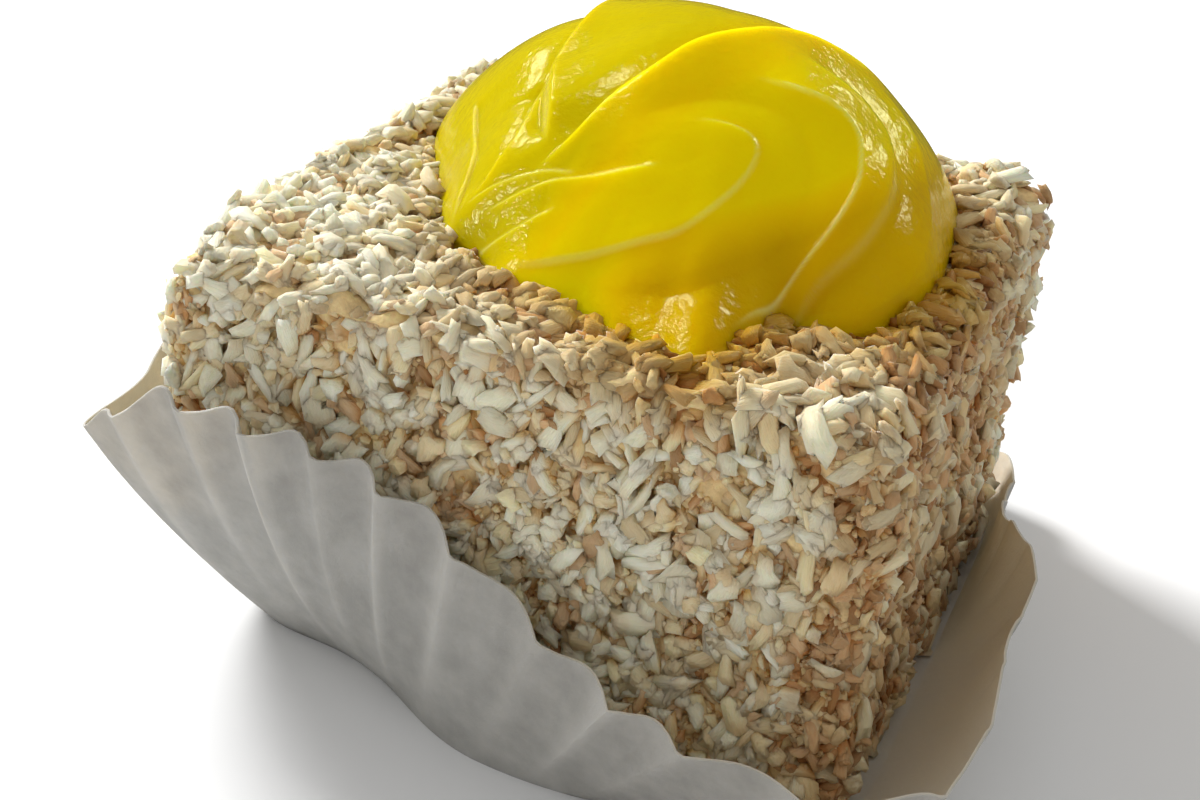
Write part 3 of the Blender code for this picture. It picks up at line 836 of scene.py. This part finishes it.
def add_flake_pattern(coconut, bend, taper, twist, ragged, draw):
    """One grain of coconut along X: a coarse sphere, drawn out, tapered, bowed and twisted."""
    grain = add_new(bpy.ops.mesh.primitive_uv_sphere_add,
                    segments=FLAKE_SIDES, ring_count=FLAKE_RINGS, radius=1.0)
    points = get_points(grain)
    blunt = 1.0 + BLUNTNESS * np.abs(points[:, 2:3]) ** 4
    points = points * np.hstack([blunt, blunt, 1.0 / np.sqrt(blunt)])
    points = points + draw.normal(0.0, ragged, points.shape)
    along, across, thick = points[:, 2], points[:, 0], points[:, 1]
    girth = (1.0 - 0.5 * taper) - 0.5 * taper * along
    turn = twist * along
    across, thick = across * girth, thick * (THICK_TAPER[0] + THICK_TAPER[1] * girth)
    wide, deep = across * 0.5 * coconut.width, thick * 0.5 * coconut.thickness
    points[:, 0] = along * 0.5 * coconut.length
    points[:, 1] = wide * np.cos(turn) - deep * np.sin(turn)
    bow = bend * coconut.length * (1.0 - along ** 2)
    points[:, 2] = wide * np.sin(turn) + deep * np.cos(turn) + bow
    set_points(grain, points)
    apply_modifier(grain, "TRIANGULATE", "Triangles")
    return grain


def add_crumb_pattern(coconut, draw):
    """One crumb: a twenty-sided ball pushed out of shape."""
    crumb = add_new(bpy.ops.mesh.primitive_ico_sphere_add, subdivisions=1, radius=0.5 * coconut.crumb)
    points = get_points(crumb)
    set_points(crumb, points * (1.0 + draw.normal(0.0, CRUMB_RAGGEDNESS, points.shape)))
    return crumb


def take_mesh(item):
    """Points and triangles of a pattern, which is then removed."""
    points = get_points(item)
    corners = np.empty(len(item.data.polygons) * 3, int)
    item.data.polygons.foreach_get("vertices", corners)
    bpy.data.objects.remove(item, do_unlink=True)
    return points, corners.reshape(-1, 3)


def flake_spots(block, spacing, draw):
    """Uneven places over the coated block, with the axes of its skin under each."""
    half, top = block.side / MILLIMETRE / 2.0, block.top / MILLIMETRE
    x_axis, y_axis, z_axis = np.eye(3)
    sides = [(x_axis, y_axis, z_axis * top, half, half)]
    for out in (-y_axis, x_axis, y_axis, -x_axis):
        sides.append((np.cross(z_axis, out), z_axis, out * half + z_axis * top / 2.0, half, top / 2.0))
    places = []
    for right, up, centre, half_width, half_height in sides:
        count = int(4.0 * half_width * half_height / spacing ** 2)
        a = draw.uniform(-half_width, half_width, count)
        b = draw.uniform(-half_height, half_height, count)
        places.append(centre + a[:, None] * right + b[:, None] * up)
    place, outward = rounded_surface(np.concatenate(places), block)
    level = np.abs(outward[:, 2]) > NEARLY_LEVEL
    up = np.where(level[:, None], y_axis, z_axis)
    right = np.cross(up, outward)
    right /= np.linalg.norm(right, axis=1)[:, None]
    return place, np.stack([right, np.cross(outward, right), outward], axis=1)


def away_from_curd(place, curd):
    """Distance (mm) in plan from the curd's outline, less than 0 under the curd."""
    away = place[:, :2] - np.array(SWIRL_CENTRE)
    angle = np.degrees(np.arctan2(away[:, 1], away[:, 0]))
    return np.hypot(away[:, 0], away[:, 1]) - swirl_edge(angle, curd)[1]


def turned(first, second, angle):
    """Two axes turned in their own plane, each place by its angle."""
    cosine, sine = np.cos(angle)[:, None], np.sin(angle)[:, None]
    return first * cosine + second * sine, second * cosine - first * sine


def turned_axes(axes, turn, tilt, roll):
    """Axes of each flake: turned about the face's normal, then tilted and rolled."""
    along, across = turned(axes[:, 0], axes[:, 1], turn)
    along, normal = turned(along, axes[:, 2], tilt)
    across, normal = turned(across, normal, roll)
    return np.stack([along, across, normal], axis=1)


def join_copies(name, curd, patterns, which, feet, outward, centres, axes, sizes, tones):
    """One mesh holding a moved, turned and scaled copy of a pattern for every entry."""
    copies = []
    total = 0
    for index, (points, corners) in enumerate(patterns):
        chosen = np.flatnonzero(which == index)
        scaled_points = points[None] * sizes[chosen][:, None, :]
        placed = np.einsum("nvk,nkc->nvc", scaled_points, axes[chosen])
        placed += centres[chosen][:, None, :]
        highs = np.einsum("nvc,nc->nv", placed - feet[chosen][:, None, :], outward[chosen])
        offsets = total + np.arange(len(chosen)) * len(points)
        lengthwise = points * np.array(FIBRE_STEPS) / np.abs(points).max(axis=0)
        fibres = lengthwise[None] + tones[chosen][:, None, None] * FIBRE_SPREAD
        copies.append((
            placed.reshape(-1, 3),
            (corners[None] + offsets[:, None, None]).reshape(-1, 3),
            np.repeat(tones[chosen], len(points)),
            np.tile(0.5 + 0.5 * points[:, 0] / np.abs(points[:, 0]).max(), len(chosen)),
            risen(highs.ravel(), 0.0, FLAKE_REACH * MILLIMETRE),
            fibres.reshape(-1, 3)))
        total += len(chosen) * len(points)
    points, corners, tones, tips, highs, fibres = (np.concatenate(column) for column in zip(*copies))
    points = keep_inside_case(points / MILLIMETRE, FLAKE_INSET) * MILLIMETRE
    mesh = bpy.data.meshes.new(name)
    mesh.vertices.add(len(points))
    mesh.vertices.foreach_set("co", points.ravel())
    mesh.loops.add(corners.size)
    mesh.loops.foreach_set("vertex_index", corners.ravel())
    mesh.polygons.add(len(corners))
    mesh.polygons.foreach_set("loop_start", np.arange(0, corners.size, 3))
    item = bpy.data.objects.new(name, mesh)
    # The height over the core sets painted shade low between the flakes; the last attribute holds the
    # curd's stain with painted shadow and the painted shade on the block's right.
    for key, values in (("tone", tones), ("tip", tips), ("high", highs), ("fibre", fibres),
                        ("stain_and_shade", stain_and_shade_mask(points, curd))):
        add_attribute(item, key, values)
    mesh.update(calc_edges=True)
    bpy.context.scene.collection.objects.link(item)
    return item


def stain_and_shade_mask(points, curd):
    """How strongly the coconut is tinted: the curd's stain beside the curd with painted shadow,
    strongest in the curd's shade, and painted shade on the block's shaded right.
    """
    places = points / MILLIMETRE
    angle = np.degrees(np.arctan2(places[:, 1] - SWIRL_CENTRE[1], places[:, 0] - SWIRL_CENTRE[0]))
    strength = np.clip(with_lobes(STAIN_AND_SHADOW_STRENGTH, STAIN_AND_SHADOW_STRONGER, angle), 0.0, 1.0)
    reach = with_lobes(STAIN_AND_SHADOW_REACH, STAIN_AND_SHADOW_FARTHER, angle)
    near = np.exp(-(np.maximum(away_from_curd(places, curd), 0.0) / reach) ** 2)
    shady = SHADY_TINT * risen(places[:, 0], *SHADY_RISE)
    shady *= np.maximum(risen(places[:, 1], *SHADY_BACK), SHADY_LEAST)
    return np.maximum(shady, strength * near * risen(places[:, 2], *STAIN_AND_SHADOW_RISE))


def lies_in_the_open(place, curd):
    """True where a flake has room beside the paper and lies outside the curd."""
    radius = np.hypot(place[:, 0], place[:, 1])
    roomy = radius + FLAKE_ROOM < wall_radius(place, wall_table())
    under = place[:, 2] < TOPPING_LOW.z / MILLIMETRE - BELOW_CURD
    return roomy & (under | (away_from_curd(place, curd) > CURD_MARGIN)) & (place[:, 2] > FLAKE_LOWEST)


def flake_sizes(count, draw):
    """Length, width and thickness of each flake, as shares of the usual ones."""
    return np.stack([np.clip(draw.lognormal(*LENGTH_SPREAD, count), *LENGTH_RANGE),
                     np.clip(draw.lognormal(*WIDTH_SPREAD, count), *WIDTH_RANGE),
                     draw.uniform(*THICKNESS_RANGE, count)], axis=1)


def flake_kinds(place, lift, draw):
    """0 for a white flake to 3 for a browned one: darker low down, with browner flakes as painted
    shade on the shaded right and deep between the others.
    """
    low = np.clip(1.0 - place[:, 2] / SHADE_TOP, 0.0, 1.0)
    shade = draw.normal(0.0, SHADE_SPREAD, len(place))
    shade += PATCH_SHADE * ripples_together(place, SHADE_PATCHES)
    # Browner flakes on the block's right and low among the others are painted shade.
    shade += LOW_SHADE * low + RIGHT_PAINTED_SHADE * risen(place[:, 0], *SHADE_RISE)
    shade -= LIFT_PAINTED_SHADE * (lift - PLAIN_LIFT)
    return np.digitize(shade, KIND_LIMITS)


def add_flakes(settings):
    """Coconut flakes in four tones, each tone one joined mesh."""
    block, coconut, curd = settings.block, settings.coconut, settings.curd
    draw = np.random.default_rng(coconut.seed)
    patterns = [take_mesh(add_flake_pattern(coconut, *shape, draw)) for shape in FLAKE_SHAPES]
    place, axes = flake_spots(block, coconut.spacing / MILLIMETRE, draw)
    count = len(place)
    on_top = axes[:, 2, 2] > FACING_UP
    upright = draw.random(count) < UPRIGHT_SHARE
    turn = np.where(upright & ~on_top, draw.normal(np.pi / 2.0, UPRIGHT_SPREAD, count),
                    draw.uniform(0, np.pi * 2.0, count))
    turn += np.where(draw.random(count) < 0.5, np.pi, 0.0)
    calm = np.where(on_top, np.clip(away_from_curd(place, curd) / CALM_REACH, *CALM_RANGE), 1.0)
    tilt = np.radians(draw.normal(0.0, FLAKE_TILT, count) * calm)
    roll = np.radians(draw.normal(0.0, FLAKE_ROLL, count))
    sizes = flake_sizes(count, draw)
    lift = draw.uniform(*FLAKE_LIFTS, count)
    feet = place * MILLIMETRE
    centres = (place + axes[:, 2] * (lift + heap(place, on_top, curd))[:, None]) * MILLIMETRE
    frames = turned_axes(axes, turn, tilt, roll)
    keep = lies_in_the_open(place, curd)
    kinds = flake_kinds(place, lift, draw)
    tones = draw.random(count)
    which = draw.integers(0, len(patterns), count)
    sizes *= np.array(KIND_SIZES)[kinds][:, None]
    finishes = (("white_flakes", coconut.white, 0.38), ("cream_flakes", coconut.cream, 0.42),
                ("toasted_flakes", coconut.toasted, 0.50), ("browned_flakes", coconut.browned, 0.55))
    for kind, (name, colour, roughness) in enumerate(finishes):
        chosen = keep & (kinds == kind)
        flakes = join_copies(name, curd, patterns, which[chosen], feet[chosen], axes[chosen, 2],
                             centres[chosen], frames[chosen], sizes[chosen], tones[chosen])
        finish = flake_material(name, coconut, colour, coconut.browned, roughness)
        finish_piece(flakes, name, finish, ["cake"], smooth_angle=150.0)


def add_crumbs(settings):
    """Fine crumbs strewn evenly between the flakes, one joined mesh."""
    block, coconut, curd = settings.block, settings.coconut, settings.curd
    draw = np.random.default_rng(coconut.seed + 1)
    patterns = [take_mesh(add_crumb_pattern(coconut, draw)) for repeat in range(CRUMB_SHAPES)]
    place, axes = flake_spots(block, coconut.crumb_spacing / MILLIMETRE, draw)
    count = len(place)
    keep = lies_in_the_open(place, curd)
    centres = (place + axes[:, 2] * draw.uniform(*CRUMB_LIFTS, count)[:, None]) * MILLIMETRE
    frames = turned_axes(axes, *draw.uniform(0.0, np.pi * 2.0, (3, count)))
    sizes = draw.lognormal(0.0, CRUMB_SPREAD, (count, 1)) * draw.uniform(*CRUMB_STRETCH, (count, 3))
    crumbs = join_copies("coconut_crumbs", curd, patterns, draw.integers(0, CRUMB_SHAPES, count)[keep],
                         place[keep] * MILLIMETRE, axes[keep, 2], centres[keep], frames[keep],
                         sizes[keep], draw.random(count)[keep])
    finish = flake_material("coconut_crumbs", coconut, coconut.crumbs, coconut.toasted, 0.55)
    return finish_piece(crumbs, "coconut_crumbs", finish, ["cake"])


def add_curd(settings):
    """The swirl: a fine grid drawn into a disc, raised to its folds and closed by a sole."""
    curd = settings.curd
    swirl = add_new(bpy.ops.mesh.primitive_grid_add,
                    x_subdivisions=curd.cells, y_subdivisions=curd.cells, size=2.0)
    points = get_points(swirl)
    u, v = points[:, 0], points[:, 1]
    across, deep = u * np.sqrt(1.0 - v * v / 2.0), v * np.sqrt(1.0 - u * u / 2.0)
    share = np.sin(np.clip(np.hypot(across, deep), 0.0, 1.0) * np.pi / 2.0) ** SWIRL_CROWDING
    angle = np.degrees(np.arctan2(deep, across))
    x, y = swirl_place(share, angle, curd)
    height, thin = swirl_shape(x, y, share, angle, curd)
    set_points(swirl, np.stack([x, y, height + settings.block.top / MILLIMETRE], axis=1) * MILLIMETRE)
    # Painted highlight along the folds' beads.
    add_attribute(swirl, "thin", thin)
    # Painted shade: darker amber towards the shaded right and front and low down.
    add_attribute(swirl, "depth", curd_painted_shade(x, y, share, angle, height, curd))
    edit_all()
    bpy.ops.mesh.region_to_loop()
    bpy.ops.mesh.extrude_edges_move(TRANSFORM_OT_translate={"value": (0.0, 0.0, -curd.lip)})
    bpy.ops.mesh.edge_face_add()
    bpy.ops.mesh.select_all(action="SELECT")
    bpy.ops.mesh.normals_make_consistent(inside=False)
    bpy.ops.object.mode_set(mode="OBJECT")
    return finish_piece(swirl, "curd_swirl", curd_material(curd), ["lemon_topping"],
                        smooth_angle=60.0)


def flutes(rim_angle, rise, case):
    """How far the flutes move the wall out and up (mm), and the painted highlight, also standing for
    wear, along their crests.
    """
    smoothed = with_lobes(1.0, CASE_SMOOTHED, rim_angle)
    phase = np.radians(CASE_FLUTES * (rim_angle + with_lobes(CASE_PHASE, CASE_DRIFTS, rim_angle)))
    turns = phase / (2.0 * np.pi)
    within = turns % 1.0
    away = np.minimum(within, 1.0 - within)
    plain, uneven, step = CASE_UNEVEN
    strength = plain + uneven * np.sin(step * np.floor(turns + 0.5))
    ridge = CASE_RIDGE * np.exp(-(away / CASE_RIDGE_WIDTH) ** 2) * strength
    out = case.flute_depth / MILLIMETRE * rise ** CASE_FLUTE_POWER * smoothed
    out *= ridge + CASE_WAVE * np.cos(phase) + CASE_WAVE_LEVEL
    up = case.scallop / MILLIMETRE * rise ** CASE_SCALLOP_POWER * smoothed
    up *= np.sin(np.pi * within ** 2) - 0.5
    highlight_and_wear = np.exp(-(away / CASE_HIGHLIGHT_AND_WEAR_WIDTH) ** 2) * strength * smoothed
    return out, up, highlight_and_wear * risen(rise, *CASE_HIGHLIGHT_AND_WEAR_RISE)


def add_case(settings):
    """The case: a grid wrapped round into a fluted wall on a flat base, then given thickness."""
    case = settings.case
    paper = add_new(bpy.ops.mesh.primitive_grid_add,
                    x_subdivisions=CASE_FLUTES * FLUTE_CELLS, y_subdivisions=WALL_CELLS, size=1.0)
    points = get_points(paper)
    rim_angle = (points[:, 0] + 0.5) * 360.0
    rise = points[:, 1] + 0.5
    angle, radius, height = case_wall(rim_angle, rise)
    out, up, highlight_and_wear = flutes(rim_angle, rise, case)
    turn = np.radians(angle)
    places = [(radius + out) * np.cos(turn), (radius + out) * np.sin(turn), height + up]
    set_points(paper, np.stack(places, axis=1) * MILLIMETRE)
    # Painted highlight along the crests, also standing for wear.
    add_attribute(paper, "crest_highlight_and_wear", highlight_and_wear)
    edit_all()
    bpy.ops.mesh.remove_doubles(threshold=0.00001)
    bpy.ops.mesh.select_all(action="DESELECT")
    bpy.ops.object.mode_set(mode="OBJECT")
    foot = get_points(paper)[:, 2] < 1e-7
    paper.data.vertices.foreach_set("select", foot)
    bpy.ops.object.mode_set(mode="EDIT")
    bpy.ops.mesh.select_mode(type="VERT")
    bpy.ops.mesh.edge_face_add()
    bpy.ops.mesh.select_all(action="SELECT")
    bpy.ops.mesh.normals_make_consistent(inside=False)
    bpy.ops.object.mode_set(mode="OBJECT")
    face_base_down(paper)
    outer_count = len(paper.data.vertices)
    apply_modifier(paper, "SOLIDIFY", "Paper thickness", thickness=CASE_THICKNESS, offset=-1.0)
    # Painted light on the inner side, rising towards the right.
    inside = risen(get_points(paper)[:, 0] / MILLIMETRE, *INNER_PAINTED_LIGHT_RISE)
    inside[:outer_count] = 0.0
    add_attribute(paper, "inside", inside)
    return finish_piece(paper, "fluted_case", paper_material(case), ["paper_case"],
                        smooth_angle=60.0)


def face_base_down(item):
    """Turn the open cup's faces so that the base points down."""
    base = max(item.data.polygons, key=lambda face: len(face.vertices))
    if base.normal.z > 0.0:
        item.data.flip_normals()


# ---- stage

def add_floor(stage):
    floor = add_new(bpy.ops.mesh.primitive_plane_add, size=FLOOR_SIDE)
    floor.name = "floor"
    material, shader = new_material("pale_floor")
    set_inputs(shader, Base_Color=(*stage.floor, 1.0), Roughness=0.9)
    floor.data.materials.append(material)
    floor.visible_glossy = False


def add_camera(stage):
    azimuth, elevation, roll = stage.azimuth, stage.elevation, stage.roll
    back = Vector((math.sin(azimuth) * math.cos(elevation), -math.cos(azimuth) * math.cos(elevation),
                   math.sin(elevation)))
    right = (-back).cross(Vector((0.0, 0.0, 1.0))).normalized()
    up = right.cross(-back)
    tilted_right = right * math.cos(roll) + up * math.sin(roll)
    tilted_up = up * math.cos(roll) - right * math.sin(roll)
    camera = add_new(bpy.ops.object.camera_add)
    camera.data.lens = stage.lens
    camera.data.clip_start = 0.01
    placed = Matrix((tilted_right, tilted_up, back)).transposed().to_4x4()
    placed.translation = Vector(stage.target) + back * stage.distance
    camera.matrix_world = placed
    bpy.context.scene.camera = camera


def add_lamp(name, place, size, colour, power):
    lamp = add_new(bpy.ops.object.light_add, type="AREA", location=place)
    lamp.name = name
    lamp.data.size = size
    lamp.data.color = colour
    lamp.data.energy = power
    lamp.rotation_euler = (Vector(LAMP_AIM) - Vector(place)).to_track_quat("-Z", "Y").to_euler()
    return lamp


def add_world(stage):
    """Even light all round, dimmer where a glossy surface mirrors it."""
    world = bpy.data.worlds.new("even_light")
    world.use_nodes = True
    background = world.node_tree.nodes["Background"]
    set_inputs(background, Color=(1.0, 1.0, 1.0, 1.0))
    ray = add_node(world, "ShaderNodeLightPath")
    strength = add_node(world, "ShaderNodeMapRange", To_Min=stage.sky, To_Max=stage.mirrored_sky)
    link(world, ray.outputs["Is Glossy Ray"], strength.inputs["Value"])
    link(world, strength.outputs["Result"], background.inputs["Strength"])
    bpy.context.scene.world = world


def add_stage(settings):
    """The floor, the camera and the lights: lamps that aren't mirrored, and glints that are."""
    stage = settings.stage
    add_floor(stage)
    add_camera(stage)
    for lamp, power in zip(LAMPS, (stage.key, stage.fill, stage.warm)):
        add_lamp(*lamp, power).visible_glossy = False
    for name, place, size, share in GLINTS:
        add_lamp(name, place, size, GLINT_LIGHT, stage.key * share).visible_diffuse = False
    add_world(stage)
    bpy.context.scene.view_settings.view_transform = "Standard"


# ---- operators

class LEMONCAKE_OT_core(bpy.types.Operator):
    """Model the cream-coated block"""
    bl_idname = "lemon_cake.core"
    bl_label = "Cream core"

    def execute(self, context):
        add_core(context.scene.lemon_cake)
        return {"FINISHED"}


class LEMONCAKE_OT_flakes(bpy.types.Operator):
    """Scatter the coconut flakes over the block"""
    bl_idname = "lemon_cake.flakes"
    bl_label = "Coconut flakes"

    def execute(self, context):
        add_flakes(context.scene.lemon_cake)
        return {"FINISHED"}


class LEMONCAKE_OT_crumbs(bpy.types.Operator):
    """Strew fine coconut crumbs between the flakes"""
    bl_idname = "lemon_cake.crumbs"
    bl_label = "Coconut crumbs"

    def execute(self, context):
        add_crumbs(context.scene.lemon_cake)
        return {"FINISHED"}


class LEMONCAKE_OT_curd(bpy.types.Operator):
    """Model the swirl of lemon curd"""
    bl_idname = "lemon_cake.curd"
    bl_label = "Lemon curd"

    def execute(self, context):
        add_curd(context.scene.lemon_cake)
        return {"FINISHED"}


class LEMONCAKE_OT_case(bpy.types.Operator):
    """Model the fluted paper case"""
    bl_idname = "lemon_cake.case"
    bl_label = "Paper case"

    def execute(self, context):
        add_case(context.scene.lemon_cake)
        return {"FINISHED"}


class LEMONCAKE_OT_stage(bpy.types.Operator):
    """Set the floor, the camera and the lights"""
    bl_idname = "lemon_cake.stage"
    bl_label = "Stage"

    def execute(self, context):
        add_stage(context.scene.lemon_cake)
        return {"FINISHED"}


class LEMONCAKE_PT_panel(bpy.types.Panel):
    """Lists the cake's pieces in the order in which they are made"""
    bl_idname = "LEMONCAKE_PT_panel"
    bl_label = "Lemon cake"
    bl_space_type = "VIEW_3D"
    bl_region_type = "UI"
    bl_category = "Lemon cake"

    def draw(self, context):
        for operator in OPERATORS:
            self.layout.operator(operator.bl_idname)


SETTINGS = (CakeBlockSettings, CoconutSettings, CurdSettings, CaseSettings, StageSettings,
            LemonCakeSettings)
OPERATORS = (LEMONCAKE_OT_stage, LEMONCAKE_OT_core, LEMONCAKE_OT_flakes, LEMONCAKE_OT_crumbs,
             LEMONCAKE_OT_curd, LEMONCAKE_OT_case)


def register():
    for item in (*SETTINGS, *OPERATORS, LEMONCAKE_PT_panel):
        bpy.utils.register_class(item)
    bpy.types.Scene.lemon_cake = bpy.props.PointerProperty(type=LemonCakeSettings)


def unregister():
    del bpy.types.Scene.lemon_cake
    for item in reversed((*SETTINGS, *OPERATORS, LEMONCAKE_PT_panel)):
        bpy.utils.unregister_class(item)


def main():
    register()
    bpy.ops.lemon_cake.stage()
    bpy.ops.lemon_cake.core()
    bpy.ops.lemon_cake.flakes()
    bpy.ops.lemon_cake.crumbs()
    bpy.ops.lemon_cake.curd()
    bpy.ops.lemon_cake.case()


if __name__ == "__main__":
    main()
